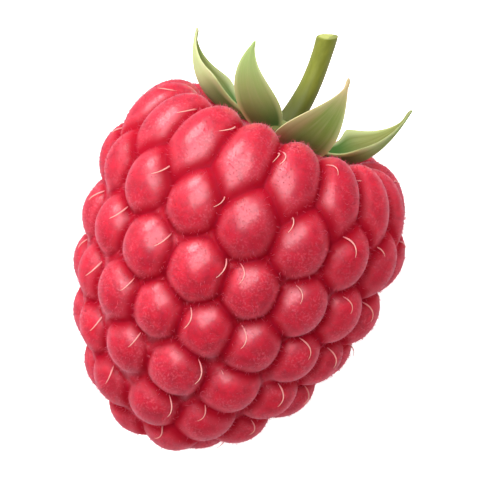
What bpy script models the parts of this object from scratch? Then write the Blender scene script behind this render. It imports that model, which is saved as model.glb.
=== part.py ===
"""A picked raspberry with its calyx and a short cut stem, lying on its side.

Metres, +Z up. Each piece is modelled about the fruit's own axis: the origin is where that axis meets the calyx,
+Z runs out along the stem, and -Y is the side that ends up on top. One empty then lays the whole fruit down,
so that the axis points along +Y with the stem end a little raised, and a few flattened drupelets carry it at Z = 0.
"""

import math
import random

import bmesh
import bpy
from mathutils import Matrix, Vector

MM = 0.001

# Outline of the fruit: how far the drupelets bulge from the axis, at heights measured up from the calyx.
FRUIT_RADIUS = 11.1 * MM
WIDEST_AT = -7.3 * MM
FRUIT_TIP = -23.9 * MM
SHOULDER_TOP = 1.2 * MM
TAPER_POWER = 1.8
SHOULDER_POWER = 3.5

# Rows of drupelets from the shoulder to the tip, and last the small ones that ring the calyx: the height where
# the row bulges, drupelets in it, its turn in degrees, their size, how drawn out they are, and how deep they sit.
ROWS = (
    (-2.9 * MM, 16, -10.0, 1.0, 1.34, 0.0),
    (-6.5 * MM, 16, 1.5, 1.0, 1.0, 0.0),
    (-10.3 * MM, 16, -9.5, 1.0, 1.0, 0.0),
    (-14.0 * MM, 16, 3.0, 1.0, 1.0, 0.0),
    (-17.5 * MM, 12, -2.0, 1.0, 1.0, 0.0),
    (-20.8 * MM, 9, -10.0, 1.0, 1.0, 0.0),
    (-23.1 * MM, 4, 24.0, 1.0, 1.0, 0.0),
    (0.4 * MM, 11, 6.0, 0.62, 1.0, 1.1 * MM),
)
ROW_SLANT = 0.3 * MM
TIP_SIDEWAYS = 0.35 * MM

# One drupelet: an egg half sunk in the core, leaning so that its end towards the tip stands out.
DRUPELET_WIDTH = 4.5 * MM
DRUPELET_LENGTH = 5.1 * MM
DRUPELET_DEPTH = 2.35 * MM
DRUPELET_LEAN = 11.0
EGG_TAPER = 0.08
ROOT_DEPTH = 1.9 * MM
SIZE_SPREAD = 0.035
PLACE_SPREAD = 0.09 * MM
SEED = 7
SEGMENTS = 12
POLAR_STEPS = (22, 42, 60, 80, 108)

# The core that the drupelets grow from, as radius and height in millimetres.
CORE_PROFILE = (
    (0.0, -0.5), (4.3, -0.5), (6.6, -1.5), (8.2, -3.3), (9.0, -6.0), (9.0, -8.5), (8.6, -11.0), (7.9, -14.0),
    (6.6, -17.0), (4.6, -19.6), (2.3, -21.2), (0.0, -21.6),
)
CORE_SEGMENTS = 24

# The calyx: a shallow disc in a seat on top of the fruit, and five sepals that grow from it.
GAP = 0.1 * MM
SEAT_LEVEL = -0.45 * MM
DISC_RADIUS = 3.1 * MM
DISC_PROFILE = ((0.0, 0.95), (1.2, 0.95), (2.2, 0.75), (2.9, 0.35), (3.1, -0.05), (2.9, -0.35), (0.0, -0.35))
DISC_SEGMENTS = 30
SEPAL_THICKNESS = 0.6 * MM
SEPAL_THINNING = 0.5
SEPAL_ROOT = (1.5 * MM, 0.3 * MM)
SEPAL_STATIONS = 11
# Azimuth from the top side; three points, as reach and height, that shape the midrib, the last being the tip;
# sideways sweep of the tip; width between the margins; how steeply the halves fold up.
SEPALS = (
    (-100.0, ((5.6, -0.4), (7.8, 0.6), (8.4, 3.8)), 0.0, 2.9, 46.0),
    (-41.0, ((3.4, 0.6), (6.5, 2.9), (6.6, 5.1)), 0.2, 3.7, 20.0),
    (24.0, ((3.6, 0.6), (6.0, 2.9), (6.1, 5.4)), 0.0, 4.0, 26.0),
    (98.0, ((5.0, -0.4), (7.2, 0.9), (7.35, 4.7)), 0.0, 2.9, 46.0),
    (178.0, ((3.8, 0.6), (5.8, 1.4), (7.4, 1.2)), 0.0, 3.6, 22.0),
)

# The stem: a bowed round stalk in a socket of the disc, cut off square.
STEM_LENGTH = 6.9 * MM
STEM_RADIUS = 0.66 * MM
STEM_FOOT_RADIUS = 0.86 * MM
STEM_BOW = 0.30 * MM
STEM_REACH = 0.75 * MM
STEM_FOOT = 0.3 * MM
STEM_POINTS = 12

# How it lies: the axis rises this much towards the stem, and the lowest drupelets are this much flattened.
AXIS_RISE = 7.5
FLATTENING = 0.2 * MM


def clear_scene():
    """Takes out whatever the scene holds."""
    for obj in list(bpy.data.objects):
        bpy.data.objects.remove(obj)


def material(name, colour, roughness):
    """A plain finish for one piece; colour is linear RGB."""
    made = bpy.data.materials.new(name)
    made.use_nodes = True
    shader = made.node_tree.nodes["Principled BSDF"]
    shader.inputs["Base Color"].default_value = (*colour, 1.0)
    shader.inputs["Roughness"].default_value = roughness
    shader.inputs["Metallic"].default_value = 0.0
    return made


def object_from(name, mesh_maker, finish):
    """A named object whose mesh is filled in by mesh_maker(bm)."""
    mesh = bpy.data.meshes.new(name)
    bm = bmesh.new()
    mesh_maker(bm)
    bmesh.ops.recalc_face_normals(bm, faces=bm.faces)
    bm.to_mesh(mesh)
    bm.free()
    mesh.shade_smooth()
    mesh.set_sharp_from_angle(angle=math.radians(35))
    mesh.materials.append(finish)
    made = bpy.data.objects.new(name, mesh)
    bpy.context.scene.collection.objects.link(made)
    return made


def ring_of(bm, points):
    """New vertices at these points."""
    return [bm.verts.new(point) for point in points]


def skin(bm, rings, first=None, last=None):
    """Faces between neighbouring closed rings of vertices, closed at both ends by a vertex or by a flat face."""
    for lower, upper in zip(rings, rings[1:]):
        for i, vertex in enumerate(lower):
            j = (i + 1) % len(lower)
            bm.faces.new((vertex, lower[j], upper[j], upper[i]))
    for ring, end in ((rings[0], first), (rings[-1], last)):
        if end is None:
            bm.faces.new(ring)
            continue
        for i, vertex in enumerate(ring):
            bm.faces.new((vertex, ring[(i + 1) % len(ring)], end))


def outline_radius(height):
    """How far the drupelets bulge from the axis at this height."""
    if height < WIDEST_AT:
        share, power = (WIDEST_AT - height) / (WIDEST_AT - FRUIT_TIP), TAPER_POWER
    else:
        share, power = (height - WIDEST_AT) / (SHOULDER_TOP - WIDEST_AT), SHOULDER_POWER
    return FRUIT_RADIUS * math.sqrt(max(0.0, 1.0 - share**power))


def outline_slope(height):
    """Angle of the outline's outward normal above the horizontal at this height, in radians."""
    step = 0.05 * MM
    run = outline_radius(height + step) - outline_radius(height - step)
    return math.atan2(-run, 2 * step)


def around(azimuth):
    """The horizontal direction at this azimuth, counted from the top side (-Y) towards +X."""
    return Vector((math.sin(azimuth), -math.cos(azimuth), 0.0))


def drupelet_places():
    """Yields each drupelet's placing matrix: its columns are across, towards the tip, outwards and the centre."""
    draw = random.Random(SEED)
    for height, count, turn, scale, stretch, sunk in ROWS:
        for i in range(count):
            azimuth = math.radians(turn + 360.0 * i / count)
            level = height + ROW_SLANT * math.sin(azimuth)
            slope = outline_slope(level)
            facing = around(azimuth)
            outward = (facing * math.cos(slope) + Vector((0, 0, math.sin(slope)))).normalized()
            across = outward.cross(Vector((0, 0, 1))).normalized()
            down = outward.cross(across)
            centre = facing * outline_radius(level) + Vector((0, 0, level))
            centre -= outward * (DRUPELET_DEPTH * scale + sunk) + down * (stretch - 1) * DRUPELET_LENGTH / 2
            centre += across * draw.uniform(1, -1) * PLACE_SPREAD + down * draw.uniform(-1, 1) * PLACE_SPREAD
            centre.x += TIP_SIDEWAYS * level / FRUIT_TIP
            lean = Matrix.Rotation(math.radians(-DRUPELET_LEAN), 3, across)
            size = scale * (1.0 + draw.uniform(-1, 1) * SIZE_SPREAD)
            columns = (
                lean @ across * DRUPELET_WIDTH / 2 * size,
                lean @ down * DRUPELET_LENGTH / 2 * size * stretch,
                lean @ outward * DRUPELET_DEPTH * size,
            )
            yield Matrix.Translation(centre) @ Matrix(columns).transposed().to_4x4()


def drupelet_shape(bm):
    """A unit egg: +Z is the bulge, +Y the fuller end towards the tip, and a root tapers away below."""
    rings = []
    for degrees in POLAR_STEPS:
        polar = math.radians(degrees)
        ring = []
        for i in range(SEGMENTS):
            turn = 2 * math.pi * i / SEGMENTS
            width = 1.0 + EGG_TAPER * math.sin(turn)
            ring.append((math.sin(polar) * math.cos(turn) * width, math.sin(polar) * math.sin(turn), math.cos(polar)))
        rings.append(ring_of(bm, ring))
    top = bm.verts.new((0, 0, 1))
    root = bm.verts.new((0, 0, -ROOT_DEPTH / DRUPELET_DEPTH))
    skin(bm, rings, first=top, last=root)


def join_into(base, pieces, name):
    """Fuses the pieces into base with one Boolean union, and takes the pieces out of the scene."""
    group = bpy.data.collections.new(name)
    bpy.context.scene.collection.children.link(group)
    for piece in pieces:
        bpy.context.scene.collection.objects.unlink(piece)
        group.objects.link(piece)
    union = base.modifiers.new(name, "BOOLEAN")
    union.operation = "UNION"
    union.operand_type = "COLLECTION"
    union.collection = group
    apply_modifiers(base)
    for piece in pieces:
        bpy.data.objects.remove(piece)
    bpy.data.collections.remove(group)


def apply_modifiers(obj):
    """Puts the object's evaluated mesh in place of its own, and drops its modifiers."""
    bpy.context.view_layer.update()
    finished = bpy.data.meshes.new_from_object(obj.evaluated_get(bpy.context.evaluated_depsgraph_get()))
    obj.modifiers.clear()
    obj.data = finished


def cut_away(obj, cutter):
    """Takes the cutter's shape out of obj, and keeps the cutter as a hidden helper."""
    cutter.hide_render = True
    cutter.display_type = "WIRE"
    cut = obj.modifiers.new(cutter.name, "BOOLEAN")
    cut.operation = "DIFFERENCE"
    cut.object = cutter


def turned_shape(profile, segments):
    """A mesh maker for a solid turned about Z, from (radius, height) pairs that start and end on the axis."""

    def fill(bm):
        rings = []
        for radius, height in profile[1:-1]:
            turns = [2 * math.pi * i / segments for i in range(segments)]
            rings.append(ring_of(bm, [around(turn) * radius + Vector((0, 0, height)) for turn in turns]))
        skin(bm, rings, first=bm.verts.new((0, 0, profile[0][1])), last=bm.verts.new((0, 0, profile[-1][1])))

    return fill


def build_fruit(finish):
    """The drupelets and their core as one body, with a flat seat for the calyx."""
    profile = [(radius * MM, height * MM) for radius, height in CORE_PROFILE]
    fruit = object_from("fruit", turned_shape(profile, CORE_SEGMENTS), finish)
    pieces = []
    for number, place in enumerate(drupelet_places()):
        drupelet = object_from(f"drupelet_{number}", drupelet_shape, finish)
        drupelet.data.transform(place)
        pieces.append(drupelet)
    join_into(fruit, pieces, "drupelets")
    height = 4 * MM
    seat_profile = ((0, SEAT_LEVEL), (DISC_RADIUS + GAP, SEAT_LEVEL), (DISC_RADIUS + GAP, height), (0, height))
    cut_away(fruit, object_from("calyx_seat_cutter", turned_shape(seat_profile, DISC_SEGMENTS), finish))
    return fruit


def bezier(points, share):
    """The point at this share of the way along a cubic curve."""
    a, b, c, d = (Vector(point) for point in points)
    rest = 1 - share
    return a * rest**3 + b * 3 * share * rest**2 + c * 3 * share**2 * rest + d * share**3


def sepal_half_width(share, width):
    """Half the blade's width: broad near the foot, drawn out to a fine tip."""
    return width / 2 * (0.1 + 0.9 * math.sin(math.pi * (0.24 + 0.76 * share)) ** 1.25)


def sepal_shape(azimuth, midrib, sweep, width, fold):
    """A mesh maker for one sepal: a folded blade that leaves the disc low and curls up to its tip."""
    facing, side = around(math.radians(azimuth)), around(math.radians(azimuth + 90))
    controls = [(*SEPAL_ROOT, 0)] + [(out * MM, up * MM, 0) for out, up in midrib]

    def centre(share):
        out, up = bezier(controls, share).xy
        return facing * out + Vector((0, 0, up)) + side * sweep * MM * share**2

    def fill(bm):
        sections = []
        for station in range(SEPAL_STATIONS):
            share = station / (SEPAL_STATIONS - 1)
            along = (centre(min(1.0, share + 0.01)) - centre(max(0.0, share - 0.01))).normalized()
            inner = along.cross(side).normalized()
            half = sepal_half_width(share, width * MM)
            lift = math.tan(math.radians(fold)) * half
            thickness = SEPAL_THICKNESS * (1 - SEPAL_THINNING * share)
            upper = [
                centre(share) + side * half * part + inner * (lift * abs(part) ** 1.4 + thickness / 2)
                for part in (-1, -0.5, 0, 0.5, 1)
            ]
            lower = [point - inner * thickness for point in reversed(upper)]
            sections.append(ring_of(bm, upper + lower))
        skin(bm, sections)

    return fill


def build_calyx(finish):
    """The disc and its five sepals as one body, with a socket for the stem."""
    profile = [(radius * MM, height * MM) for radius, height in DISC_PROFILE]
    calyx = object_from("calyx", turned_shape(profile, DISC_SEGMENTS), finish)
    sepals = [object_from(f"sepal_{n}", sepal_shape(*shape), finish) for n, shape in enumerate(SEPALS)]
    join_into(calyx, sepals, "sepals")
    radius, height = STEM_FOOT_RADIUS + GAP, 4 * MM
    socket = ((0, STEM_FOOT - GAP), (radius, STEM_FOOT - GAP), (radius, height), (0, height))
    cut_away(calyx, object_from("stem_socket_cutter", turned_shape(socket, DISC_SEGMENTS), finish))
    return calyx


def build_stem(finish):
    """The stalk: a curve with a round bevel, wider at its foot, bowed sideways and bending up at its cut end."""
    curve = bpy.data.curves.new("stem", "CURVE")
    curve.dimensions = "3D"
    curve.bevel_depth = STEM_RADIUS
    curve.bevel_resolution = 2
    curve.use_fill_caps = True
    spline = curve.splines.new("POLY")
    spline.points.add(STEM_POINTS - 1)
    for i, point in enumerate(spline.points):
        share = i / (STEM_POINTS - 1)
        up = STEM_FOOT + (STEM_LENGTH - STEM_FOOT) * share
        point.co = (STEM_BOW * math.sin(math.pi * share), -STEM_REACH * share**2.5, up, 1.0)
        point.radius = 1 + (STEM_FOOT_RADIUS / STEM_RADIUS - 1) * (1 - share) ** 3
    curve.materials.append(finish)
    stem = bpy.data.objects.new("stem", curve)
    bpy.context.scene.collection.objects.link(stem)
    return stem


def world_box(objects):
    """Lowest and highest corner of the objects as evaluated."""
    bpy.context.view_layer.update()
    graph = bpy.context.evaluated_depsgraph_get()
    corners = []
    for obj in objects:
        evaluated = obj.evaluated_get(graph)
        mesh = evaluated.to_mesh()
        corners += [evaluated.matrix_world @ vertex.co for vertex in mesh.vertices]
        evaluated.to_mesh_clear()
    return (Vector(pick(corner[i] for corner in corners) for i in range(3)) for pick in (min, max))


def lay_down(nodes, fruit, finish):
    """Lays the fruit on its side, flattens what it lies on, and centres it over the origin."""
    axis = bpy.data.objects.new("lying", None)
    bpy.context.scene.collection.objects.link(axis)
    axis.rotation_euler = (math.radians(AXIS_RISE - 90), 0, 0)
    for node in nodes:
        node.parent = axis
    for helper in [modifier.object for node in nodes for modifier in node.modifiers]:
        helper.parent = axis
    low, high = world_box(nodes)
    axis.location = (-(low.x + high.x) / 2, -(low.y + high.y) / 2, -low.z - FLATTENING)
    slab = ((0, -3 * MM), (2 * FRUIT_RADIUS, -3 * MM), (2 * FRUIT_RADIUS, 0), (0, 0))
    cut_away(fruit, object_from("surface_cutter", turned_shape(slab, DISC_SEGMENTS), finish))


def main():
    clear_scene()
    red = material("drupelet_skin", (0.62, 0.045, 0.085), 0.38)
    green = material("sepal_green", (0.30, 0.38, 0.12), 0.6)
    olive = material("stem_green", (0.25, 0.29, 0.06), 0.55)
    fruit = build_fruit(red)
    nodes = [fruit, build_calyx(green), build_stem(olive)]
    lay_down(nodes, fruit, red)


main()
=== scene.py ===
"""A picked raspberry with its calyx and a short cut stem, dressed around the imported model.

Metres, +Z up. Each piece is modelled about the fruit's own axis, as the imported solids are: the origin is
where that axis meets the calyx, +Z runs out along the stem, and -Y is the side that ends up on top. One
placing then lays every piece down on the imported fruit.
"""

import math
import random
from collections import namedtuple

import bmesh
import bpy
import numpy as np
from mathutils import Matrix, Quaternion, Vector

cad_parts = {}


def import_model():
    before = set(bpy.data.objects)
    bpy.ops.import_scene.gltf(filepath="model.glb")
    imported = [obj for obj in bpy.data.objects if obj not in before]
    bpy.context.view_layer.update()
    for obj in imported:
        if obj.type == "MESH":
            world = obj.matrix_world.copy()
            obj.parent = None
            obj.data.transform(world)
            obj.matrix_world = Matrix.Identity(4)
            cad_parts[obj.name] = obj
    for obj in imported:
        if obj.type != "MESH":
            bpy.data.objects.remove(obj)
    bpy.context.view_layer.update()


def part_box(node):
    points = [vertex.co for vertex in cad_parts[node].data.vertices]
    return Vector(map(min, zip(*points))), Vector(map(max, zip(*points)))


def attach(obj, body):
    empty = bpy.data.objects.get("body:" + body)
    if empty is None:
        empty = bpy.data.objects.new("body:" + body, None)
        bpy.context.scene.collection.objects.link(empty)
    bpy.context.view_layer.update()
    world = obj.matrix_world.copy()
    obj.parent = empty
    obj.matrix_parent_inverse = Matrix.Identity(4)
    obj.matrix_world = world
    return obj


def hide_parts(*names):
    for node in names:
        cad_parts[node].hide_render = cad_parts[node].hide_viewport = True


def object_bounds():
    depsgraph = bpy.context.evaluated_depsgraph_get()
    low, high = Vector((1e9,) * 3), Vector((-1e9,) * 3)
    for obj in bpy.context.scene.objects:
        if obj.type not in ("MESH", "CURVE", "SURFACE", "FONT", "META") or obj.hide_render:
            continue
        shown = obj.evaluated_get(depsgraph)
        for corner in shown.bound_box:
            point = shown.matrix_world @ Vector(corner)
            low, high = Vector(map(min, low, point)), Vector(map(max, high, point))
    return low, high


MM = 0.001
SEED = 7
SHARP_EDGE = math.radians(50)

# The outline that the drupelets bulge to: their reach from the axis, at heights measured from the calyx.
FRUIT_RADIUS = 11.1 * MM
WIDEST_AT = -7.3 * MM
FRUIT_TIP = -23.9 * MM
SHOULDER_TOP = 1.2 * MM
TAPER_POWER = 1.8
SHOULDER_POWER = 3.5

# Rows of drupelets: height, drupelets in the row, its turn in degrees, their size, how drawn out they are,
# and how deep they sit. Then how far a row slants, and how far the fruit's tip lies to one side.
ROWS = (
    (-2.5 * MM, 16, -10.0, 1.02, 1.30, 0.0),
    (-6.1 * MM, 16, 1.5, 1.03, 1.06, 0.0),
    (-10.05 * MM, 16, -9.5, 1.01, 1.0, 0.0),
    (-13.9 * MM, 16, 3.0, 1.0, 1.0, 0.0),
    (-17.5 * MM, 12, -2.0, 1.0, 1.0, 0.0),
    (-20.8 * MM, 9, -10.0, 1.0, 1.0, 0.0),
    (-23.1 * MM, 4, 24.0, 1.0, 1.0, 0.0),
    (0.4 * MM, 11, 6.0, 0.62, 1.0, 1.1 * MM),
)
ROW_SLANT = 0.3 * MM
TIP_SIDEWAYS = 0.35 * MM

# One drupelet: its size, how many degrees its top leans towards the fruit's tip, how much wider it is on
# that side, how much drupelets differ in size and place, and how finely each is faceted.
DRUPELET_WIDTH = 4.5 * MM
DRUPELET_LENGTH = 5.1 * MM
DRUPELET_DEPTH = 2.35 * MM
DRUPELET_LEAN = 11.0
EGG_TAPER = 0.08
SIZE_SPREAD = 0.035
PLACE_SPREAD = 0.09 * MM
DRUPELET_SEGMENTS, DRUPELET_RINGS = 32, 18

# The core fills the gaps between the drupelets up to this far below their tops, and ends under the calyx.
GAP_DEPTH = 1.0 * MM
CORE_TOP = -0.5 * MM
CORE_LEVELS, CORE_SEGMENTS = 40, 96

# Creases, in shares of a drupelet's size: they reach this far out of the drupelet next door. Then how
# sharply the shading turns there from one drupelet to the next, and how much of it takes part in that turn.
CREASE_REACH = 0.45
CREASE_SOFTNESS = 28.0
CREASE_BLEND = 0.8

# A face belongs to the drupelet that it fits best: its distance in shares of a size, plus this much for
# facing the wrong way. It fits none when that comes to more than this. It is bare core, and shaded flat,
# when it lies this far out of every drupelet, or when rounding would turn its shading this far away: the
# cosine of that angle.
FACING_COUNTS = 0.3
WORST_FIT = 0.12
BARE_FROM = 1.15
MOST_TURNED = 0.3

# The down: hairs per square metre, their length and radius, and how far they lean, in radians.
HAIR_SIDES = 3
DOWN = {"Density": 15 / MM**2, "Length": 0.28 * MM, "Thickness": 0.018 * MM, "Lean": 0.7, "Seed": SEED}

# The dried styles: how far each droops, rises and bows aside, its radius, and the share that is still there.
STYLE_BENDS, STYLE_SIDES = 9, 5
STYLE = {"Droop": 1.2 * MM, "Rise": 0.95 * MM, "Bow": 0.6 * MM, "Thickness": 0.065 * MM, "Share kept": 0.8,
         "Seed": SEED}

# Where a style stands on its drupelet, in degrees: from across towards the calyx, and down from its top.
# Then how far it may lean aside, how far its droop turns from the fruit's middle to its side, and how much
# that differs from one to the next.
STYLE_CORNER = (35, 62)
STYLE_TILT = (62, 70)
STYLE_LEAN = 20
STYLE_FAN, STYLE_FAN_SPREAD = 50.0, 12

# The calyx disc, as radius and height, and its sepals: azimuth from the top side; the midrib's four points
# as reach and height; how far its tip sweeps and its middle bows sideways; its width, how that runs out to
# the tip and how narrow its foot is; how far the halves fold up; the blade's roll; how much its outside is
# painted paler, as painted light; how much red tints it. Lengths are in millimetres and angles in degrees.
DISC_PROFILE = ((0.0, 0.55), (1.0, 0.55), (1.7, 0.4), (2.2, 0.05), (2.3, -0.2), (2.1, -0.45), (0.0, -0.45))
DISC_SEGMENTS = 60
Sepal = namedtuple("Sepal", "name azimuth midrib sweep bow width taper foot fold roll pale blush")
SEPALS = (
    Sepal("sepal_left", -103.5, ((1.4, -0.2), (5.7, -1.4), (8.1, 0.35), (8.6, 3.7)),
          0.2, -0.05, 4.35, 1.8, 0.05, 38.0, 1.5, 0.75, 0.0),
    Sepal("sepal_upper", -43.0, ((1.4, -0.6), (2.3, 0.25), (7.3, 1.6), (6.4, 4.9)),
          0.2, 0.72, 2.85, 1.0, 0.12, 4.0, 37.0, 0.3, 0.0),
    Sepal("sepal_front", 28.4, ((1.4, -0.8), (4.1, -1.3), (8.7, 3.15), (5.65, 5.2)),
          -0.3, -1.0, 3.9, 1.8, 0.23, -4.5, -7.5, 0.0, 0.8),
    Sepal("sepal_right", 100.4, ((1.4, -0.2), (5.45, -2.0), (7.0, 1.0), (7.4, 4.65)),
          -0.4, 0.0, 4.45, 2.1, 0.05, 39.5, 9.0, 0.0, 0.0),
    Sepal("sepal_under", 178.0, ((1.4, -0.2), (3.8, 0.0), (6.2, 0.6), (7.6, -0.6)),
          0.0, 0.0, 3.8, 1.6, 0.2, 22.0, 0.0, 0.4, 0.3),
)
SEPAL_STATIONS, SEPAL_STEPS = 48, 16
SEPAL_TIP = 0.15 * MM
SEPAL_THICKNESS = 0.34 * MM
MARGIN_THICKNESS = 0.12 * MM
MIDRIB_ROUNDING = 0.02

# The stem: a round stalk, wider at its foot, that bows aside and reaches up to the top side. Its cut end
# slants by this many degrees over its last stretch, and is a low dome, as radius and height in millimetres.
STEM_STATIONS, STEM_SIDES = 48, 40
STEM_LENGTH = 6.9 * MM
STEM_RADIUS = 0.66 * MM
STEM_FOOT_RADIUS = 0.86 * MM
STEM_BOW = 0.30 * MM
STEM_REACH = 0.75 * MM
STEM_FOOT = 0.3 * MM
CUT_SLANT = 18.0
CUT_REACH = 1.2 * MM
CUT_PROFILE = (
    (0.0, 0.03), (0.3, 0.05), (0.5, 0.05), (0.62, 0.01), (0.67, -0.05), (0.66, -0.12), (0.0, -0.12),
)

# How the fruit lies: its axis rises this many degrees towards the stem.
AXIS_RISE = 7.5

# The camera looks straight down. The fruit's axis leans this many degrees from upright in its view, which
# takes in a square of this side at the middle of the fruit.
VIEW_TURN = 24.3
VIEW_SIDE = 32.9 * MM
VIEW_SHIFT = Vector((0.18, 0.06, 0.0)) * MM
LENS, SENSOR = 190.0, 36.0

# Softboxes aimed at the fruit: heading in the camera's view, counted from its right side towards its top,
# and tilt from straight above, both in degrees; distance and two sides in metres; watts. Then the light
# from all round, how bright the floor glows by itself, and how far it reaches.
SOFTBOXES = (
    ("key", 122.0, 64.0, 0.4, 0.20, 0.24, 1.05),
    ("body", 120.0, 18.0, 0.4, 0.35, 0.50, 2.1),
    ("left", 160.0, 76.0, 0.4, 0.30, 0.40, 0.08),
    ("right", -55.0, 62.0, 0.4, 0.30, 0.40, 0.02),
)
WORLD_LIGHT = 0.18
FLOOR_GLOW = 0.9
FLOOR_REACH = 1.0


# ---- Helpers

def linear(code):
    """Linear RGBA for an sRGB hex colour."""
    shares = [int(code[i:i + 2], 16) / 255 for i in (1, 3, 5)]
    return (*(s / 12.92 if s <= 0.04045 else ((s + 0.055) / 1.055) ** 2.4 for s in shares), 1.0)


def node(tree, kind, settings=None, inputs=None):
    """A new node: settings are its properties, inputs its sockets by name, or by number where names repeat,
    each with a value or with the sockets to link."""
    made = tree.nodes.new(kind)
    for name, value in (settings or {}).items():
        setattr(made, name, value)
    for key, value in (inputs or {}).items():
        for item in value if isinstance(value, list) else [value]:
            if isinstance(item, bpy.types.NodeSocket):
                tree.links.new(item, made.inputs[key])
            else:
                made.inputs[key].default_value = item
    return made


def geometry_tree(name, sizes):
    """A new Geometry Nodes tree with a named input for each size, and its input and output sockets."""
    kinds = {int: "NodeSocketInt", float: "NodeSocketFloat", bpy.types.Object: "NodeSocketObject"}
    tree = bpy.data.node_groups.new(name, "GeometryNodeTree")
    tree.interface.new_socket("Geometry", in_out="INPUT", socket_type="NodeSocketGeometry")
    for label, value in sizes.items():
        tree.interface.new_socket(label, in_out="INPUT", socket_type=kinds[type(value)])
    tree.interface.new_socket("Geometry", in_out="OUTPUT", socket_type="NodeSocketGeometry")
    return tree, node(tree, "NodeGroupInput").outputs, node(tree, "NodeGroupOutput").inputs


def grown(name, base, tree, sizes):
    """A plain mesh object: what the tree makes of the base mesh with these sizes."""
    made = bpy.data.objects.new(name, base)
    bpy.context.scene.collection.objects.link(made)
    modifier = made.modifiers.new(tree.name, "NODES")
    modifier.node_group = tree
    for item in tree.interface.items_tree:
        if item.in_out == "INPUT" and item.name in sizes:
            modifier[item.identifier] = sizes[item.name]
    bpy.context.view_layer.update()
    made.data = bpy.data.meshes.new_from_object(made.evaluated_get(bpy.context.evaluated_depsgraph_get()))
    made.data.name = name
    made.modifiers.clear()
    return made


def mesh_of(name, points, faces=(), edges=(), **values):
    """A mesh from points and faces, with one named attribute per keyword and one value of it per point."""
    kinds = {1: ("FLOAT", "value"), 3: ("FLOAT_VECTOR", "vector"), 4: ("QUATERNION", "value")}
    mesh = bpy.data.meshes.new(name)
    mesh.from_pydata([tuple(point) for point in points], list(edges), list(faces))
    for label, column in values.items():
        flat = np.asarray(column, dtype=np.float32)
        kind, field = kinds[flat.shape[1] if flat.ndim > 1 else 1]
        mesh.attributes.new(label, kind, "POINT").data.foreach_set(field, flat.ravel())
    return mesh


def object_of(name, mesh, finish):
    """An object at the origin with this mesh and finish, faces outward, smooth but for sharp edges."""
    shape = bmesh.new()
    shape.from_mesh(mesh)
    bmesh.ops.recalc_face_normals(shape, faces=shape.faces)
    shape.to_mesh(mesh)
    shape.free()
    mesh.shade_smooth()
    mesh.set_sharp_from_angle(angle=SHARP_EDGE)
    mesh.materials.append(finish)
    made = bpy.data.objects.new(name, mesh)
    bpy.context.scene.collection.objects.link(made)
    return made


def around(azimuth):
    """The horizontal direction at this azimuth, counted from the top side (-Y) towards +X."""
    return Vector((math.sin(azimuth), -math.cos(azimuth), 0.0))


def lofted(rings):
    """Points and faces of a solid through closed rings of equally many points, flat at both ends."""
    points = [point for ring in rings for point in ring]
    size = len(rings[0])
    faces = [
        (row * size + i, row * size + (i + 1) % size, (row + 1) * size + (i + 1) % size, (row + 1) * size + i)
        for row in range(len(rings) - 1)
        for i in range(size)
    ]
    return points, faces + [tuple(range(size)), tuple(range(len(points) - size, len(points)))]


def turned(profile, segments):
    """Points and faces of a solid turned about Z from (radius, height) pairs in millimetres. It closes on
    the axis with a tiny flat."""
    flattest = 0.02
    rings = [
        [around(2 * math.pi * i / segments) * max(radius, flattest) * MM + Vector((0, 0, height * MM))
         for i in range(segments)]
        for radius, height in profile
    ]
    return lofted(rings)


def bezier(points, share):
    """The point at this share of the way along a cubic curve."""
    a, b, c, d = (Vector(point) for point in points)
    rest = 1 - share
    return a * rest**3 + b * 3 * share * rest**2 + c * 3 * share**2 * rest + d * share**3


# ---- Materials

def new_finish(name, values):
    """A new material with these fixed values on its shader, its node tree and that shader."""
    finish = bpy.data.materials.new(name)
    finish.use_nodes = True
    shader = finish.node_tree.nodes["Principled BSDF"]
    for label, value in values.items():
        shader.inputs[label].default_value = value
    return finish, finish.node_tree, shader


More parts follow.
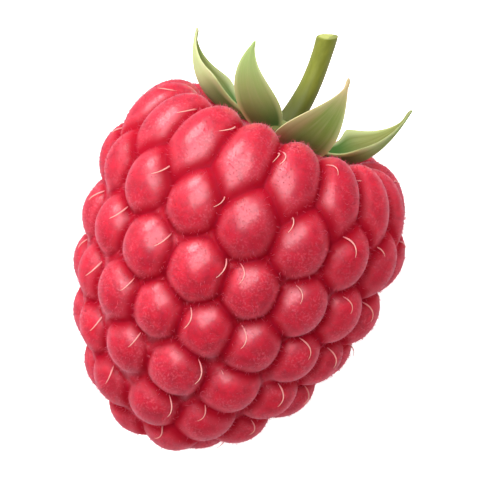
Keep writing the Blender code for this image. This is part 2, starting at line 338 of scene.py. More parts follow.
def drupelet_skin():
    """Ripe drupelet: thin skin over juicy flesh. Light sinks in and comes back red, a fine bloom pales the
    bulges in specks and patches, and a soft gloss lies over them. The creases, where two skins meet, are
    dull and painted a deeper red as painted shade, with a pale band of painted sheen along their edges."""
    finish, tree, shader = new_finish("drupelet_skin", {
        "IOR": 1.52, "Subsurface Weight": 0.8, "Subsurface Radius": (1.0, 0.2, 0.18),
        "Subsurface Scale": 1.8 * MM, "Specular Tint": linear("#ffd0e4"), "Coat Roughness": 0.24,
        "Sheen Roughness": 0.4, "Sheen Tint": linear("#ffc4d8"),
    })
    place = node(tree, "ShaderNodeTexCoord").outputs["Object"]
    crease = node(tree, "ShaderNodeAttribute", {"attribute_name": "crease"}).outputs["Fac"]
    shade = node(tree, "ShaderNodeAttribute", {"attribute_name": "shade"}).outputs["Fac"]

    # Bloom in patches about 2 mm across, broken into specks 0.16 mm across, over flesh mottled every 0.7
    # mm. Real specks are finer, and these are as coarse as they need to be to show.
    patches = node(tree, "ShaderNodeTexNoise", None, {"Vector": place, "Scale": 0.55 / MM, "Detail": 2.0})
    mottle = node(tree, "ShaderNodeTexNoise", None,
                  {"Vector": place, "Scale": 1.5 / MM, "Detail": 4.0, "Roughness": 0.6, "Distortion": 0.5})
    specks = node(tree, "ShaderNodeTexNoise", None, {"Vector": place, "Scale": 6.0 / MM, "Detail": 1.0})
    dark = node(tree, "ShaderNodeMapRange", None,
                {"Value": mottle.outputs["Fac"], "From Min": 0.38, "From Max": 0.66, "To Max": 0.75})
    pale = node(tree, "ShaderNodeMapRange", None,
                {"Value": specks.outputs["Fac"], "From Min": 0.50, "From Max": 0.66, "To Max": 0.45})
    where = node(tree, "ShaderNodeMapRange", None,
                 {"Value": patches.outputs["Fac"], "From Min": 0.42, "From Max": 0.62})
    specked = node(tree, "ShaderNodeMath", {"operation": "MULTIPLY"},
                   {0: pale.outputs["Result"], 1: where.outputs["Result"]})
    hue = node(tree, "ShaderNodeMix", {"data_type": "RGBA"},
               {"Factor": shade, "A": linear("#da1737"), "B": linear("#cc1333")})
    flesh = node(tree, "ShaderNodeMix", {"data_type": "RGBA"},
                 {"Factor": dark.outputs["Result"], "A": hue.outputs["Result"], "B": linear("#ac142b")})
    bloom = node(tree, "ShaderNodeMix", {"data_type": "RGBA"},
                 {"Factor": specked.outputs[0], "A": flesh.outputs["Result"], "B": linear("#e26675")})
    # Painted shade: deep darkens the creases to a deeper red, #a80b22, below; it also dulls their gloss.
    deep = node(tree, "ShaderNodeMapRange", {"interpolation_type": "SMOOTHSTEP"},
                {"Value": crease, "From Min": 0.15, "From Max": 0.85})
    # Painted sheen: near lays a pale pink band, #e26574, along each drupelet's edge next to its creases.
    near = node(tree, "ShaderNodeMapRange", {"interpolation_type": "SMOOTHSTEP"},
                {"Value": crease, "From Min": 0.0, "From Max": 0.25, "To Max": 0.15})
    with_painted_rim_sheen = node(tree, "ShaderNodeMix", {"data_type": "RGBA"},
                  {"Factor": near.outputs["Result"], "A": bloom.outputs["Result"], "B": linear("#e26574")})
    whole = node(tree, "ShaderNodeMix", {"data_type": "RGBA"},
                 {"Factor": deep.outputs["Result"], "A": with_painted_rim_sheen.outputs["Result"], "B": linear("#a80b22")})
    gloss = node(tree, "ShaderNodeMapRange", None, {
        "Value": patches.outputs["Fac"], "From Min": 0.3, "From Max": 0.7, "To Min": 0.46, "To Max": 0.56,
    })
    duller = node(tree, "ShaderNodeMix", {"data_type": "FLOAT"},
                  {"Factor": deep.outputs["Result"], "A": gloss.outputs["Result"], "B": 0.55})
    dimples = node(tree, "ShaderNodeBump", None,
                   {"Height": specks.outputs["Fac"], "Strength": 0.2, "Distance": 0.02 * MM})
    dents = node(tree, "ShaderNodeBump", None, {
        "Height": mottle.outputs["Fac"], "Strength": 0.3, "Distance": 0.1 * MM,
        "Normal": dimples.outputs["Normal"],
    })
    tree.links.new(whole.outputs["Result"], shader.inputs["Base Color"])
    tree.links.new(duller.outputs[0], shader.inputs["Roughness"])

    # The gloss, its clear coat and the sheen of the down fade out into the creases.
    for label, bulging, creased in (("Specular IOR Level", 0.9, 0.1), ("Coat Weight", 0.9, 0.0),
                                    ("Sheen Weight", 0.45, 0.0)):
        fading = node(tree, "ShaderNodeMix", {"data_type": "FLOAT"},
                      {"Factor": deep.outputs["Result"], "A": bulging, "B": creased})
        tree.links.new(fading.outputs[0], shader.inputs[label])
    tree.links.new(dents.outputs["Normal"], shader.inputs["Normal"])
    return finish


def down_hair():
    """The fruit's down: fine dry hair, matt and flushed with the fruit's red, so it softens an edge. It is
    darker in some tufts, each about 0.8 mm across."""
    finish, tree, shader = new_finish("fruit_down", {"Roughness": 0.6, "IOR": 1.5})
    place = node(tree, "ShaderNodeTexCoord").outputs["Object"]
    tufts = node(tree, "ShaderNodeTexNoise", None, {"Vector": place, "Scale": 1.2 / MM, "Detail": 2.0})
    tint = node(tree, "ShaderNodeMix", {"data_type": "RGBA"},
                {"Factor": tufts.outputs["Fac"], "A": linear("#d0485f"), "B": linear("#b13c50")})
    tree.links.new(tint.outputs["Result"], shader.inputs["Base Color"])
    return finish


def style_thread():
    """Withered style: a dry thread, flushed red where it leaves the fruit and straw-coloured at its end."""
    finish, tree, shader = new_finish("withered_style", {"Roughness": 0.5, "IOR": 1.5})
    along = node(tree, "ShaderNodeAttribute", {"attribute_name": "along"}).outputs["Fac"]
    tint = node(tree, "ShaderNodeMix", {"data_type": "RGBA"},
                {"Factor": along, "A": linear("#e0707c"), "B": linear("#f3c9b6")})
    tree.links.new(tint.outputs["Result"], shader.inputs["Base Color"])
    return finish


def sepal_green():
    """Sepal leaf: thin, matt and downy. It is olive inside and green outside, painted paler outside where
    light falls on it (painted light), cream along its margins, painted darkest where it leaves the disc
    (painted shade), with fine veins along it. Some have a flush of red."""
    finish, tree, shader = new_finish("sepal_green", {
        "Roughness": 0.62, "IOR": 1.45, "Subsurface Weight": 0.25, "Subsurface Radius": (0.5, 0.8, 0.3),
        "Subsurface Scale": 0.5 * MM, "Specular IOR Level": 0.3, "Sheen Weight": 0.1, "Sheen Roughness": 0.5,
        "Sheen Tint": linear("#f4f2d8"),
    })
    across, along, outer, blush, pale = (
        node(tree, "ShaderNodeAttribute", {"attribute_name": name}).outputs["Fac"]
        for name in ("across", "along", "outer", "blush", "pale")
    )
    place = node(tree, "ShaderNodeTexCoord").outputs["Object"]
    from_midrib = node(tree, "ShaderNodeMath", {"operation": "ABSOLUTE"}, {0: across}).outputs[0]

    # The felt of the down, in dents 1.2 mm across with finer ones in them.
    felting = node(tree, "ShaderNodeTexNoise", None, {"Vector": place, "Scale": 0.8 / MM, "Detail": 4.0})

    # Veins 0.4 mm apart where half the blade is 2 mm wide, drawn out along it.
    blade = node(tree, "ShaderNodeCombineXYZ", None, {"X": from_midrib, "Y": along})
    spread = node(tree, "ShaderNodeMapping", None, {"Vector": blade.outputs[0], "Scale": (4.0, 1.0, 1.0)})
    veins = node(tree, "ShaderNodeTexNoise", None,
                 {"Vector": spread.outputs[0], "Scale": 1.3, "Detail": 3.0, "Distortion": 0.3})

    # Painted light: the pale share lightens a sepal's outside towards #c2cc92, where light falls on it.
    outside = node(tree, "ShaderNodeMix", {"data_type": "RGBA"},
                   {"Factor": pale, "A": linear("#7d9545"), "B": linear("#c2cc92")})
    face = node(tree, "ShaderNodeMix", {"data_type": "RGBA"},
                {"Factor": outer, "A": linear("#7c7d40"), "B": outside.outputs["Result"]})
    veined = node(tree, "ShaderNodeMapRange", None,
                  {"Value": veins.outputs["Fac"], "From Min": 0.42, "From Max": 0.68, "To Max": 0.5})
    streaked = node(tree, "ShaderNodeMix", {"data_type": "RGBA"},
                    {"Factor": veined.outputs["Result"], "A": face.outputs["Result"], "B": linear("#a9ae75")})
    # Painted shade: the foot is darkened towards #366a24 where the blade leaves the disc, less on a flushed
    # sepal.
    foot = node(tree, "ShaderNodeMapRange", {"interpolation_type": "SMOOTHSTEP"},
                {"Value": along, "From Min": 0.2, "From Max": 0.65, "To Min": 0.9, "To Max": 0.0})
    unblushed = node(tree, "ShaderNodeMapRange", None, {"Value": blush, "To Min": 1.0, "To Max": 0.25})
    footed = node(tree, "ShaderNodeMath", {"operation": "MULTIPLY"},
                  {0: foot.outputs["Result"], 1: unblushed.outputs["Result"]})
    foot_with_painted_shade = node(tree, "ShaderNodeMix", {"data_type": "RGBA"},
                  {"Factor": footed.outputs[0], "A": streaked.outputs["Result"], "B": linear("#366a24")})
    edge = node(tree, "ShaderNodeMapRange", {"interpolation_type": "SMOOTHSTEP"},
                {"Value": from_midrib, "From Min": 0.7, "From Max": 0.95, "To Max": 0.7})
    edged = node(tree, "ShaderNodeMix", {"data_type": "RGBA"},
                 {"Factor": edge.outputs["Result"], "A": foot_with_painted_shade.outputs["Result"], "B": linear("#c2c595")})
    tip = node(tree, "ShaderNodeMapRange", {"interpolation_type": "SMOOTHSTEP"},
               {"Value": along, "From Min": 0.6, "From Max": 0.95, "To Max": 0.85})
    flank = node(tree, "ShaderNodeMapRange", {"interpolation_type": "SMOOTHSTEP"},
                 {"Value": across, "From Min": -0.2, "From Max": -0.65, "To Max": 0.5})
    tinged = node(tree, "ShaderNodeMath", {"operation": "MAXIMUM"},
                  {0: tip.outputs["Result"], 1: flank.outputs["Result"]})
    flushed = node(tree, "ShaderNodeMath", {"operation": "MULTIPLY"}, {0: tinged.outputs[0], 1: blush})
    tipped = node(tree, "ShaderNodeMix", {"data_type": "RGBA"},
                  {"Factor": flushed.outputs[0], "A": edged.outputs["Result"], "B": linear("#cda887")})
    tree.links.new(tipped.outputs["Result"], shader.inputs["Base Color"])
    relief = node(tree, "ShaderNodeBump", None,
                  {"Height": veins.outputs["Fac"], "Strength": 0.35, "Distance": 0.08 * MM})
    felt = node(tree, "ShaderNodeBump", None, {
        "Height": felting.outputs["Fac"], "Strength": 0.4, "Distance": 0.1 * MM,
        "Normal": relief.outputs["Normal"],
    })
    tree.links.new(felt.outputs["Normal"], shader.inputs["Normal"])
    return finish


def stem_green():
    """Young stalk: a smooth waxy rind with a low shine, over fine lengthwise fibres 0.3 mm apart. It is
    painted darker towards the calyx, as painted shade."""
    finish, tree, shader = new_finish("stem_green", {
        "Roughness": 0.48, "IOR": 1.45, "Subsurface Weight": 0.15, "Subsurface Radius": (0.5, 0.8, 0.2),
        "Subsurface Scale": 0.5 * MM, "Sheen Weight": 0.2, "Sheen Tint": linear("#f4f2d8"),
    })
    along = node(tree, "ShaderNodeAttribute", {"attribute_name": "along"}).outputs["Fac"]
    place = node(tree, "ShaderNodeTexCoord").outputs["Object"]
    drawn = node(tree, "ShaderNodeMapping", None, {"Vector": place, "Scale": (1.0, 0.12, 1.0)})
    fibres = node(tree, "ShaderNodeTexNoise", None,
                  {"Vector": drawn.outputs[0], "Scale": 3.5 / MM, "Detail": 3.0})
    rind = node(tree, "ShaderNodeMix", {"data_type": "RGBA"},
                {"Factor": fibres.outputs["Fac"], "A": linear("#8f9536"), "B": linear("#686f1c")})
    # Painted shade: the foot is darkened towards #4a5016 where the stalk meets the calyx.
    foot = node(tree, "ShaderNodeMapRange", {"interpolation_type": "SMOOTHSTEP"},
                {"Value": along, "From Min": 0.1, "From Max": 0.7, "To Min": 0.85, "To Max": 0.0})
    foot_with_painted_shade = node(tree, "ShaderNodeMix", {"data_type": "RGBA"},
                  {"Factor": foot.outputs["Result"], "A": rind.outputs["Result"], "B": linear("#4a5016")})
    ridges = node(tree, "ShaderNodeBump", None,
                  {"Height": fibres.outputs["Fac"], "Strength": 0.3, "Distance": 0.05 * MM})
    tree.links.new(foot_with_painted_shade.outputs["Result"], shader.inputs["Base Color"])
    tree.links.new(ridges.outputs["Normal"], shader.inputs["Normal"])
    return finish


def cut_pith():
    """Freshly cut stalk: pale moist pith, its grain 0.16 mm across, inside a ring of darker rind."""
    finish, tree, shader = new_finish("cut_pith", {"Roughness": 0.55, "IOR": 1.4})
    from_middle = node(tree, "ShaderNodeAttribute", {"attribute_name": "from_middle"}).outputs["Fac"]
    place = node(tree, "ShaderNodeTexCoord").outputs["Object"]
    grain = node(tree, "ShaderNodeTexNoise", None, {"Vector": place, "Scale": 6.0 / MM, "Detail": 2.0})
    pith = node(tree, "ShaderNodeMix", {"data_type": "RGBA"},
                {"Factor": grain.outputs["Fac"], "A": linear("#bcc070"), "B": linear("#a3a852")})
    ring = node(tree, "ShaderNodeMapRange", {"interpolation_type": "SMOOTHSTEP"},
                {"Value": from_middle, "From Min": 0.72, "From Max": 0.92})
    whole = node(tree, "ShaderNodeMix", {"data_type": "RGBA"},
                 {"Factor": ring.outputs["Result"], "A": pith.outputs["Result"], "B": linear("#80862f")})
    tree.links.new(whole.outputs["Result"], shader.inputs["Base Color"])
    return finish


def floor_white():
    """Matt white paper lit from behind, as on a light table, so that only faint shadows fall on it."""
    return new_finish("light_table_white", {
        "Base Color": linear("#ffffff"), "Roughness": 0.9,
        "Emission Color": linear("#ffffff"), "Emission Strength": FLOOR_GLOW,
    })[0]


# ---- The fruit

def outline_radius(height):
    """How far the drupelets bulge from the axis at this height."""
    if height < WIDEST_AT:
        share, power = (WIDEST_AT - height) / (WIDEST_AT - FRUIT_TIP), TAPER_POWER
    else:
        share, power = (height - WIDEST_AT) / (SHOULDER_TOP - WIDEST_AT), SHOULDER_POWER
    return FRUIT_RADIUS * math.sqrt(max(0.0, 1.0 - share**power))


def outline_slope(height):
    """Angle of the outline's outward normal above the horizontal at this height, in radians."""
    step = 0.05 * MM
    return math.atan2(outline_radius(height - step) - outline_radius(height + step), 2 * step)


def drupelet_places():
    """Each drupelet's placing matrix: its columns are across, towards the tip, outwards and the centre."""
    draw = random.Random(SEED)
    places = []
    for height, count, turn, scale, stretch, sunk in ROWS:
        for i in range(count):
            azimuth = math.radians(turn + 360.0 * i / count)
            level = height + ROW_SLANT * math.sin(azimuth)
            slope = outline_slope(level)
            facing = around(azimuth)
            outward = (facing * math.cos(slope) + Vector((0, 0, math.sin(slope)))).normalized()
            across = outward.cross(Vector((0, 0, 1))).normalized()
            down = outward.cross(across)
            centre = facing * outline_radius(level) + Vector((0, 0, level))
            centre -= outward * (DRUPELET_DEPTH * scale + sunk) + down * (stretch - 1) * DRUPELET_LENGTH / 2
            centre += across * draw.uniform(1, -1) * PLACE_SPREAD + down * draw.uniform(-1, 1) * PLACE_SPREAD
            centre.x += TIP_SIDEWAYS * level / FRUIT_TIP
            lean = Matrix.Rotation(math.radians(-DRUPELET_LEAN), 3, across)
            size = scale * (1.0 + draw.uniform(-1, 1) * SIZE_SPREAD)
            columns = (
                lean @ across * DRUPELET_WIDTH / 2 * size,
                lean @ down * DRUPELET_LENGTH / 2 * size * stretch,
                lean @ outward * DRUPELET_DEPTH * size,
            )
            places.append(Matrix.Translation(centre) @ Matrix(columns).transposed().to_4x4())
    return places


def fruit_tree(finish, sizes):
    """Grows the drupelets on their roots and fuses them with the core."""
    tree, given, out = geometry_tree("fruit", sizes)
    ball = node(tree, "GeometryNodeMeshUVSphere", None,
                {"Segments": given["Segments"], "Rings": given["Rings"], "Radius": 1.0})
    parts = node(tree, "ShaderNodeSeparateXYZ", None, {0: node(tree, "GeometryNodeInputPosition").outputs[0]})
    taper = node(tree, "ShaderNodeMath", {"operation": "MULTIPLY_ADD"},
                 {0: parts.outputs["Y"], 1: given["Taper"], 2: 1.0})
    wider = node(tree, "ShaderNodeMath", {"operation": "MULTIPLY"},
                 {0: parts.outputs["X"], 1: taper.outputs[0]})
    spot = node(tree, "ShaderNodeCombineXYZ", None,
                {"X": wider.outputs[0], "Y": parts.outputs["Y"], "Z": parts.outputs["Z"]})
    egg = node(tree, "GeometryNodeSetPosition", None,
               {"Geometry": ball.outputs["Mesh"], "Position": spot.outputs[0]})
    turn = node(tree, "GeometryNodeInputNamedAttribute", {"data_type": "QUATERNION"}, {"Name": "turn"})
    size = node(tree, "GeometryNodeInputNamedAttribute", {"data_type": "FLOAT_VECTOR"}, {"Name": "size"})
    eggs = node(tree, "GeometryNodeInstanceOnPoints", None, {
        "Points": given["Geometry"], "Instance": egg.outputs[0],
        "Rotation": turn.outputs["Attribute"], "Scale": size.outputs["Attribute"],
    })
    core = node(tree, "GeometryNodeObjectInfo", None, {"Object": given["Core"]})
    fused = node(tree, "GeometryNodeMeshBoolean", {"operation": "UNION", "solver": "MANIFOLD"},
                 {"Mesh 2": [eggs.outputs[0], core.outputs["Geometry"]]})
    real = node(tree, "GeometryNodeRealizeInstances", None, {"Geometry": fused.outputs["Mesh"]})
    done = node(tree, "GeometryNodeSetMaterial", None, {"Geometry": real.outputs[0], "Material": finish})
    tree.links.new(done.outputs[0], out["Geometry"])
    return tree


def drupelet_reach(points, places):
    """For each point and each drupelet, how far from its middle the point lies, 1 being its skin, and its
    normal there."""
    inverse = np.array([place.inverted() for place in places])
    local = np.einsum("nij,pj->pni", inverse[:, :3, :3], points) + inverse[:, :3, 3]
    flat = np.hypot(local[..., 0], local[..., 1]) + 1e-9
    local[..., 0] /= 1.0 + EGG_TAPER * local[..., 1] / np.maximum(flat, 0.3)
    normal = np.einsum("nji,pnj->pni", inverse[:, :3, :3], local)
    normal /= np.linalg.norm(normal, axis=2, keepdims=True) + 1e-9
    return np.linalg.norm(local, axis=2), normal


def finish_drupelets(mesh, places):
    """Rounds each drupelet's shading up to its creases, marks how near a crease every point is, and gives
    each drupelet its own shade."""
    points = np.array([vertex.co for vertex in mesh.vertices])
    reach, normals = drupelet_reach(points, places)
    nearest = np.sort(reach, axis=1)
    pull = np.exp((nearest[:, :1] - reach) * CREASE_SOFTNESS)
    softened = np.einsum("pn,pni->pi", pull, normals)
    softened /= np.linalg.norm(softened, axis=1, keepdims=True)
    crease = np.clip(1 - (nearest[:, 1] - 1) / CREASE_REACH, 0, 1)
    mesh.attributes.new("crease", "FLOAT", "POINT").data.foreach_set("value", crease.astype(np.float32))

    centres = np.array([face.center for face in mesh.polygons])
    facing = np.array([face.normal for face in mesh.polygons])
    face_reach, face_normals = drupelet_reach(centres, places)
    misfit = np.abs(face_reach - 1) + FACING_COUNTS * (1 - np.einsum("pni,pi->pn", face_normals, facing))
    owner, fit = misfit.argmin(axis=1), misfit.min(axis=1)
    shade = np.random.default_rng(SEED).random(len(places))[owner]
    mesh.attributes.new("shade", "FLOAT", "FACE").data.foreach_set("value", shade.astype(np.float32))

    corners = []
    for face in mesh.polygons:
        for corner in face.loop_indices:
            index = mesh.loops[corner].vertex_index
            own = normals[index, owner[face.index]] if fit[face.index] < WORST_FIT else softened[index]
            rounded = own * (1 - CREASE_BLEND) + softened[index] * CREASE_BLEND
            bare = face_reach[face.index].min() > BARE_FROM or rounded @ facing[face.index] < MOST_TURNED
            corners.append(facing[face.index] if bare else rounded)
    mesh.shade_smooth()
    mesh.normals_split_custom_set(corners)


def build_fruit(places, finish):
    """The drupelets and their core as one closed piece, about the fruit's axis."""
    just_above_tip = FRUIT_TIP + 0.06 * MM
    profile = [(0.0, CORE_TOP / MM)]
    for step in range(CORE_LEVELS):
        height = CORE_TOP + (FRUIT_TIP - CORE_TOP) * math.sin(math.pi / 2 * step / (CORE_LEVELS - 1))
        slope = outline_slope(max(height, just_above_tip))
        radius = outline_radius(height) - GAP_DEPTH * math.cos(slope)
        level = min(CORE_TOP, height - GAP_DEPTH * math.sin(slope))
        if radius > 0:
            profile.append((radius / MM, level / MM))
    profile.append((0.0, (FRUIT_TIP + GAP_DEPTH) / MM))
    points, faces = turned(profile, CORE_SEGMENTS)
    core = object_of("core", mesh_of("core", points, faces), finish)
    roots = mesh_of(
        "drupelet_roots", [place.translation for place in places],
        turn=[place.to_3x3().normalized().to_quaternion() for place in places],
        size=[place.to_scale() for place in places],
    )
    sizes = {"Segments": DRUPELET_SEGMENTS, "Rings": DRUPELET_RINGS, "Taper": EGG_TAPER, "Core": core}
    fruit = grown("drupelets", roots, fruit_tree(finish, sizes), sizes)
    bpy.data.objects.remove(core)
    return fruit


def down_tree(finish, sizes):
    """Stands short tapered hairs all over a piece, each leaning its own way, with fewer in the creases."""
    tree, given, out = geometry_tree("down", sizes)
    spots = node(tree, "GeometryNodeDistributePointsOnFaces", {"distribute_method": "RANDOM"},
                 {"Mesh": given["Geometry"], "Density": given["Density"], "Seed": given["Seed"]})
    crease = node(tree, "GeometryNodeInputNamedAttribute", {"data_type": "FLOAT"}, {"Name": "crease"})
    chance = node(tree, "FunctionNodeRandomValue", {"data_type": "FLOAT"},
                  {2: 0.0, 3: 1.0, "Seed": given["Seed"]})
    kept = node(tree, "FunctionNodeCompare", {"data_type": "FLOAT", "operation": "GREATER_THAN"},
                {0: chance.outputs[1], 1: crease.outputs["Attribute"]})
    back = node(tree, "ShaderNodeMath", {"operation": "MULTIPLY"}, {0: given["Lean"], 1: -1.0}).outputs[0]
    least = node(tree, "ShaderNodeCombineXYZ", None, {"X": back, "Y": back})
    most = node(tree, "ShaderNodeCombineXYZ", None,
                {"X": given["Lean"], "Y": given["Lean"], "Z": 2 * math.pi})
    lean = node(tree, "FunctionNodeRandomValue", {"data_type": "FLOAT_VECTOR"},
                {0: least.outputs[0], 1: most.outputs[0], "Seed": given["Seed"]})
    leant = node(tree, "FunctionNodeRotateRotation", {"rotation_space": "LOCAL"}, {
        "Rotation": spots.outputs["Rotation"],
        "Rotate By": node(tree, "FunctionNodeEulerToRotation", None, {"Euler": lean.outputs[0]}).outputs[0],
    })
    size = node(tree, "FunctionNodeRandomValue", {"data_type": "FLOAT"},
                {2: 0.5, 3: 1.2, "Seed": given["Seed"]})
    hair = node(tree, "GeometryNodeMeshCone", {"fill_type": "NGON"}, {
        "Vertices": HAIR_SIDES, "Side Segments": 1, "Fill Segments": 1, "Radius Top": 0.0,
        "Radius Bottom": given["Thickness"], "Depth": given["Length"],
    })
    hairs = node(tree, "GeometryNodeInstanceOnPoints", None, {
        "Points": spots.outputs["Points"], "Selection": kept.outputs[0], "Instance": hair.outputs["Mesh"],
        "Rotation": leant.outputs[0], "Scale": size.outputs[1],
    })
    real = node(tree, "GeometryNodeRealizeInstances", None, {"Geometry": hairs.outputs[0]})
    done = node(tree, "GeometryNodeSetMaterial", None, {"Geometry": real.outputs[0], "Material": finish})
    tree.links.new(done.outputs[0], out["Geometry"])
    return tree


def style_roots(places):
    """Where the styles stand and how each is turned: its +Z is the way it grows, and its +X the way it
    droops. Each leaves the crease at the corner of its drupelet that is nearest the calyx and the middle of
    the top. The last row, under the calyx, has none."""
    draw = random.Random(SEED + 1)
    points, turns = [], []
    for place in places[:-ROWS[-1][1]]:
        across, down, outward = (Vector(place.col[i][:3]) for i in range(3))
        to_top = across if place.translation.x > 0 else -across
        turn = math.radians(draw.uniform(*STYLE_CORNER))
        tilt = math.radians(draw.uniform(*STYLE_TILT))
        corner = to_top * math.cos(turn) - down * math.sin(turn)
        points.append(place.translation + corner * math.sin(tilt) + outward * math.cos(tilt))
        lean = Quaternion(down.normalized(), math.radians(draw.uniform(-STYLE_LEAN, STYLE_LEAN)))
        grow = lean @ (outward.normalized() + corner.normalized() * 0.2).normalized()
        fan = STYLE_FAN * (0.2 + place.translation.x / FRUIT_RADIUS)
        fan += draw.uniform(-STYLE_FAN_SPREAD, STYLE_FAN_SPREAD)
        side = Quaternion(grow, math.radians(fan)) @ grow.cross(down).normalized()
        turns.append(Matrix((side.cross(grow), side, grow)).transposed().to_quaternion())
    return mesh_of("style_roots", points, turn=turns)


def style_tree(finish, sizes):
    """Stands a drooping thread, tapered to both ends, on most roots. Some are longer than others."""
    tree, given, out = geometry_tree("styles", sizes)
    part_droop = node(tree, "ShaderNodeMath", {"operation": "MULTIPLY"}, {0: given["Droop"], 1: 0.3})
    end = node(tree, "ShaderNodeCombineXYZ", None, {"X": given["Droop"], "Z": given["Rise"]})
    bend = node(tree, "ShaderNodeCombineXYZ", None,
                {"X": part_droop.outputs[0], "Y": given["Bow"], "Z": given["Rise"]})
    arc = node(tree, "GeometryNodeCurveQuadraticBezier", None, {
        "Resolution": STYLE_BENDS, "Start": (0.0, 0.0, -0.1 * MM),
        "Middle": bend.outputs[0], "End": end.outputs[0],
    })
    share = node(tree, "GeometryNodeSplineParameter").outputs["Factor"]
    marked = node(tree, "GeometryNodeStoreNamedAttribute", {"data_type": "FLOAT", "domain": "POINT"},
                  {"Geometry": arc.outputs[0], "Name": "along", "Value": share})
    swell = node(tree, "ShaderNodeMapRange", None,
                 {"Value": share, "From Max": 0.25, "To Min": 0.4, "To Max": 1.0})
    thin = node(tree, "ShaderNodeMapRange", None,
                {"Value": share, "From Min": 0.25, "To Min": 1.0, "To Max": 0.15})
    taper = node(tree, "ShaderNodeMath", {"operation": "MINIMUM"},
                 {0: swell.outputs["Result"], 1: thin.outputs["Result"]})
    thread = node(tree, "GeometryNodeCurveToMesh", None, {
        "Curve": marked.outputs[0], "Scale": taper.outputs[0], "Fill Caps": True,
        "Profile Curve": node(tree, "GeometryNodeCurvePrimitiveCircle", None,
                              {"Resolution": STYLE_SIDES, "Radius": given["Thickness"]}).outputs["Curve"],
    })
    chance = node(tree, "FunctionNodeRandomValue", {"data_type": "FLOAT"},
                  {2: 0.0, 3: 1.0, "Seed": given["Seed"]})
    kept = node(tree, "FunctionNodeCompare", {"data_type": "FLOAT", "operation": "LESS_THAN"},
                {0: chance.outputs[1], 1: given["Share kept"]})
    size = node(tree, "FunctionNodeRandomValue", {"data_type": "FLOAT"},
                {2: 0.75, 3: 1.15, "Seed": given["Seed"]})
    turn = node(tree, "GeometryNodeInputNamedAttribute", {"data_type": "QUATERNION"}, {"Name": "turn"})
    threads = node(tree, "GeometryNodeInstanceOnPoints", None, {
        "Points": given["Geometry"], "Selection": kept.outputs[0], "Instance": thread.outputs[0],
        "Rotation": turn.outputs["Attribute"], "Scale": size.outputs[1],
    })
    real = node(tree, "GeometryNodeRealizeInstances", None, {"Geometry": threads.outputs[0]})
    smooth = node(tree, "GeometryNodeSetShadeSmooth", None, {"Geometry": real.outputs[0]})
    done = node(tree, "GeometryNodeSetMaterial", None, {"Geometry": smooth.outputs[0], "Material": finish})
    tree.links.new(done.outputs[0], out["Geometry"])
    return tree


# ---- The calyx and stem

def sepal_half_width(share, sepal):
    """Half the blade's width: broad near the foot, drawn out to a fine tip with a rounded end."""
    span = sepal.foot + (1 - sepal.foot) * share
    rounding = min(1.0, 0.2 + math.sqrt(max(0.0, 1 - share) * 25))
    return max(sepal.width * MM / 2 * math.sin(math.pi * span) ** sepal.taper, SEPAL_TIP * rounding)


def sepal_mesh(sepal):
    """One sepal: a folded blade, thin at its margins, that leaves the disc low and curls up to its tip."""
    facing, side = around(math.radians(sepal.azimuth)), around(math.radians(sepal.azimuth + 90))
    controls = [(out * MM, up * MM, 0) for out, up in sepal.midrib]
    fold = math.tan(math.radians(sepal.fold))

    def centre(share):
        out, up = bezier(controls, share).xy
        aside = sepal.sweep * share**2 + sepal.bow * math.sin(math.pi * share)
        return facing * out + Vector((0, 0, up)) + side * aside * MM

    rings, across, along, outer = [], [], [], []
    for station in range(SEPAL_STATIONS + 1):
        share = station / SEPAL_STATIONS
        tangent = (centre(min(1.0, share + 0.01)) - centre(max(0.0, share - 0.01))).normalized()
        turn = Quaternion(tangent, math.radians(sepal.roll))
        right, inner = turn @ side, turn @ tangent.cross(side).normalized()
        half = sepal_half_width(share, sepal)
        ring = []
        for lower in (False, True):
            for step in range(SEPAL_STEPS + 1):
                part = (2 * step / SEPAL_STEPS - 1) * (-1 if lower else 1)
                lift = (math.sqrt(part**2 + MIDRIB_ROUNDING) - math.sqrt(MIDRIB_ROUNDING)) * fold
                thickness = MARGIN_THICKNESS + (SEPAL_THICKNESS - MARGIN_THICKNESS) * (1 - abs(part)) ** 0.7
                thickness *= 1 - 0.5 * share
                point = centre(share) + right * half * part + inner * half * lift
                ring.append(point + inner * thickness * (-0.5 if lower else 0.5))
                across.append(part)
                along.append(share)
                outer.append(float(lower))
        rings.append(ring)
    points, faces = lofted(rings)
    own = {"blush": [sepal.blush] * len(points), "pale": [sepal.pale] * len(points)}
    return mesh_of(sepal.name, points, faces, across=across, along=along, outer=outer, **own)


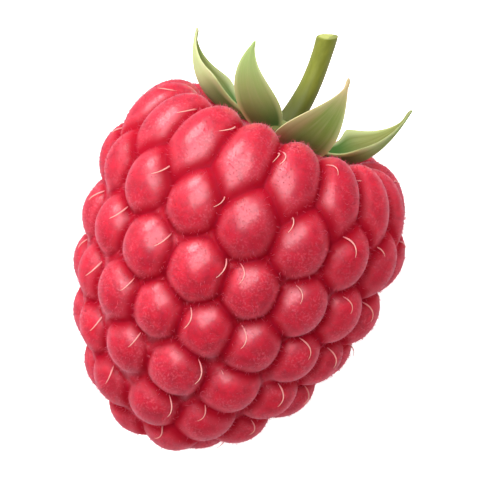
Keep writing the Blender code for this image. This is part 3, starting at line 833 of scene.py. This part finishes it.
def stem_tree(finish, sizes):
    """Sweeps the stalk along its path, with its own knobbly thickness."""
    tree, given, out = geometry_tree("stem", sizes)
    path = node(tree, "GeometryNodeMeshToCurve", None, {"Mesh": given["Geometry"]})
    along = node(tree, "GeometryNodeStoreNamedAttribute", {"data_type": "FLOAT", "domain": "POINT"}, {
        "Geometry": path.outputs[0], "Name": "along",
        "Value": node(tree, "GeometryNodeSplineParameter").outputs["Factor"],
    })
    thickness = node(tree, "GeometryNodeInputNamedAttribute", {"data_type": "FLOAT"}, {"Name": "thickness"})
    swept = node(tree, "GeometryNodeCurveToMesh", None, {
        "Curve": along.outputs[0], "Scale": thickness.outputs["Attribute"], "Fill Caps": True,
        "Profile Curve": node(tree, "GeometryNodeCurvePrimitiveCircle", None,
                              {"Resolution": given["Sides"], "Radius": 1.0}).outputs["Curve"],
    })
    bumps = node(tree, "ShaderNodeTexNoise", None, {"Scale": given["Bumps per metre"], "Detail": 2.0})
    height = node(tree, "ShaderNodeMath", {"operation": "MULTIPLY"},
                  {0: bumps.outputs["Fac"], 1: given["Bump height"]})
    moved = node(tree, "ShaderNodeVectorMath", {"operation": "SCALE"},
                 {0: node(tree, "GeometryNodeInputNormal").outputs[0], "Scale": height.outputs[0]})
    rough = node(tree, "GeometryNodeSetPosition", None,
                 {"Geometry": swept.outputs["Mesh"], "Offset": moved.outputs[0]})
    smooth = node(tree, "GeometryNodeSetShadeSmooth", None, {"Geometry": rough.outputs[0]})
    real = node(tree, "GeometryNodeRealizeInstances", None, {"Geometry": smooth.outputs[0]})
    done = node(tree, "GeometryNodeSetMaterial", None, {"Geometry": real.outputs[0], "Material": finish})
    tree.links.new(done.outputs[0], out["Geometry"])
    return tree


def cut_aslant(mesh, end):
    """Shears a stalk's last stretch so that its end is cut at a slant."""
    for vertex in mesh.vertices:
        share = min(1.0, max(0.0, 1 + (vertex.co.z - end.z) / CUT_REACH))
        vertex.co.z += share * (vertex.co.x - end.x) * math.tan(math.radians(CUT_SLANT))


def build_stem(finish, cut_finish):
    """The stalk about the fruit's axis, and its cut face: a low dome set on its end."""
    points, thickness = [], []
    for i in range(STEM_STATIONS):
        share = i / (STEM_STATIONS - 1)
        up = STEM_FOOT + (STEM_LENGTH - STEM_FOOT) * share
        points.append(Vector((STEM_BOW * math.sin(math.pi * share), -STEM_REACH * share**2.5, up)))
        thickness.append(STEM_RADIUS + (STEM_FOOT_RADIUS - STEM_RADIUS) * (1 - share) ** 3)
    edges = [(i, i + 1) for i in range(STEM_STATIONS - 1)]
    path = mesh_of("stem_path", points, edges=edges, thickness=thickness)
    sizes = {"Sides": STEM_SIDES, "Bumps per metre": 0.9 / MM, "Bump height": 0.05 * MM}
    stalk = grown("stalk", path, stem_tree(finish, sizes), sizes)
    end, before = points[-1], points[-2]
    dome, faces = turned(CUT_PROFILE, STEM_SIDES)
    mesh = mesh_of("cut_end", dome, faces, from_middle=[point.xy.length / STEM_RADIUS for point in dome])
    mesh.transform(Matrix.Translation(end) @ (end - before).to_track_quat("Z", "Y").to_matrix().to_4x4())
    cut_aslant(stalk.data, end)
    cut_aslant(mesh, end)
    return stalk, object_of("cut_end", mesh, cut_finish)


# ---- Putting it together

def clear_of_ground(mesh, each):
    """Takes away the hairs or threads, of so many points each, that run into what the fruit lies on."""
    work = bmesh.new()
    work.from_mesh(mesh)
    low = {vertex.index // each for vertex in work.verts if vertex.co.z < 0}
    gone = [vertex for vertex in work.verts if vertex.index // each in low]
    bmesh.ops.delete(work, geom=gone, context="VERTS")
    work.to_mesh(mesh)
    work.free()


def laid_on_frame(fruit):
    """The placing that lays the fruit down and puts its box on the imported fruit's."""
    turn = Matrix.Rotation(math.radians(AXIS_RISE - 90), 4, "X")
    corners = np.array([turn @ vertex.co for vertex in fruit.data.vertices])
    low, high = Vector(corners.min(axis=0)), Vector(corners.max(axis=0))
    packed_low, packed_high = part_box("fruit")
    middle = (packed_low + packed_high - low - high) / 2
    return Matrix.Translation((middle.x, packed_low.y - low.y, packed_high.z - high.z)) @ turn


def add_camera():
    """A camera straight above the middle of the object."""
    low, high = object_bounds()
    turn = math.radians(VIEW_TURN)
    data = bpy.data.cameras.new("camera")
    data.lens, data.sensor_width, data.clip_start, data.clip_end = LENS, SENSOR, 1 * MM, 10.0
    camera = bpy.data.objects.new("camera", data)
    bpy.context.scene.collection.objects.link(camera)
    distance = VIEW_SIDE * LENS / SENSOR
    camera.matrix_world = (Matrix.Translation((low + high) / 2 + VIEW_SHIFT + Vector((0, 0, distance)))
                           @ Matrix.Rotation(turn, 4, "Z"))
    bpy.context.scene.camera = camera


def add_surroundings():
    """A glowing white floor, the softboxes, and white light from all round. The shine on the skin mirrors
    only the softboxes: floor and surroundings would spread a white veil over its red."""
    corners = [(x * FLOOR_REACH, y * FLOOR_REACH, 0) for x, y in ((-1, -1), (1, -1), (1, 1), (-1, 1))]
    floor = object_of("floor", mesh_of("floor", corners, [(0, 1, 2, 3)]), floor_white())
    floor.visible_glossy = False
    for name, heading, tilt, distance, width, length, watts in SOFTBOXES:
        data = bpy.data.lights.new(name, "AREA")
        data.shape, data.size, data.size_y, data.energy = "RECTANGLE", width, length, watts
        lamp = bpy.data.objects.new(name, data)
        bpy.context.scene.collection.objects.link(lamp)
        turn = Matrix.Rotation(math.radians(VIEW_TURN + heading), 4, "Z")
        tip_over = Matrix.Rotation(math.radians(tilt), 4, "Y")
        lamp.matrix_world = turn @ tip_over @ Matrix.Translation((0, 0, distance))
    world = bpy.data.worlds.new("studio")
    world.use_nodes = True
    world.node_tree.nodes["Background"].inputs["Color"].default_value = (1, 1, 1, 1)
    world.node_tree.nodes["Background"].inputs["Strength"].default_value = WORLD_LIGHT
    bpy.context.scene.world = world
    world.cycles_visibility.glossy = False
    bpy.context.scene.view_settings.view_transform = "Standard"


def main():
    """Builds every piece about the fruit's axis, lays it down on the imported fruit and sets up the
    studio."""
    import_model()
    skin, green, olive = drupelet_skin(), sepal_green(), stem_green()

    places = drupelet_places()
    fruit = build_fruit(places, skin)
    finish_drupelets(fruit.data, places)
    lay = laid_on_frame(fruit)
    down = grown("fruit_down", fruit.data, down_tree(down_hair(), DOWN), DOWN)
    styles = grown("styles", style_roots(places), style_tree(style_thread(), STYLE), STYLE)

    points, faces = turned(DISC_PROFILE, DISC_SEGMENTS)
    none, half = [0.0] * len(points), [0.5] * len(points)
    disc_mesh = mesh_of("calyx_disc", points, faces, across=none, along=half, outer=none)
    disc = object_of("calyx_disc", disc_mesh, green)
    sepals = [object_of(sepal.name, sepal_mesh(sepal), green) for sepal in SEPALS]
    stalk, cut_end = build_stem(olive, cut_pith())

    for piece, slot, replaced in (
        (fruit, "drupelet_skin", ["fruit"]), (down, "drupelet_skin", []), (styles, "drupelet_skin", []),
        (disc, "sepal_green", ["calyx"]), *((sepal, "sepal_green", ["calyx"]) for sepal in sepals),
        (stalk, "stem_green", ["stem"]), (cut_end, "stem_green", []),
    ):
        piece.data.transform(lay)
        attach(piece, "root")
        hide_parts(*replaced)
    for vertex in fruit.data.vertices:
        vertex.co.z = max(vertex.co.z, 0.0)
    clear_of_ground(down.data, HAIR_SIDES + 1)
    clear_of_ground(styles.data, (STYLE_BENDS + 1) * STYLE_SIDES)
    add_camera()
    add_surroundings()


main()
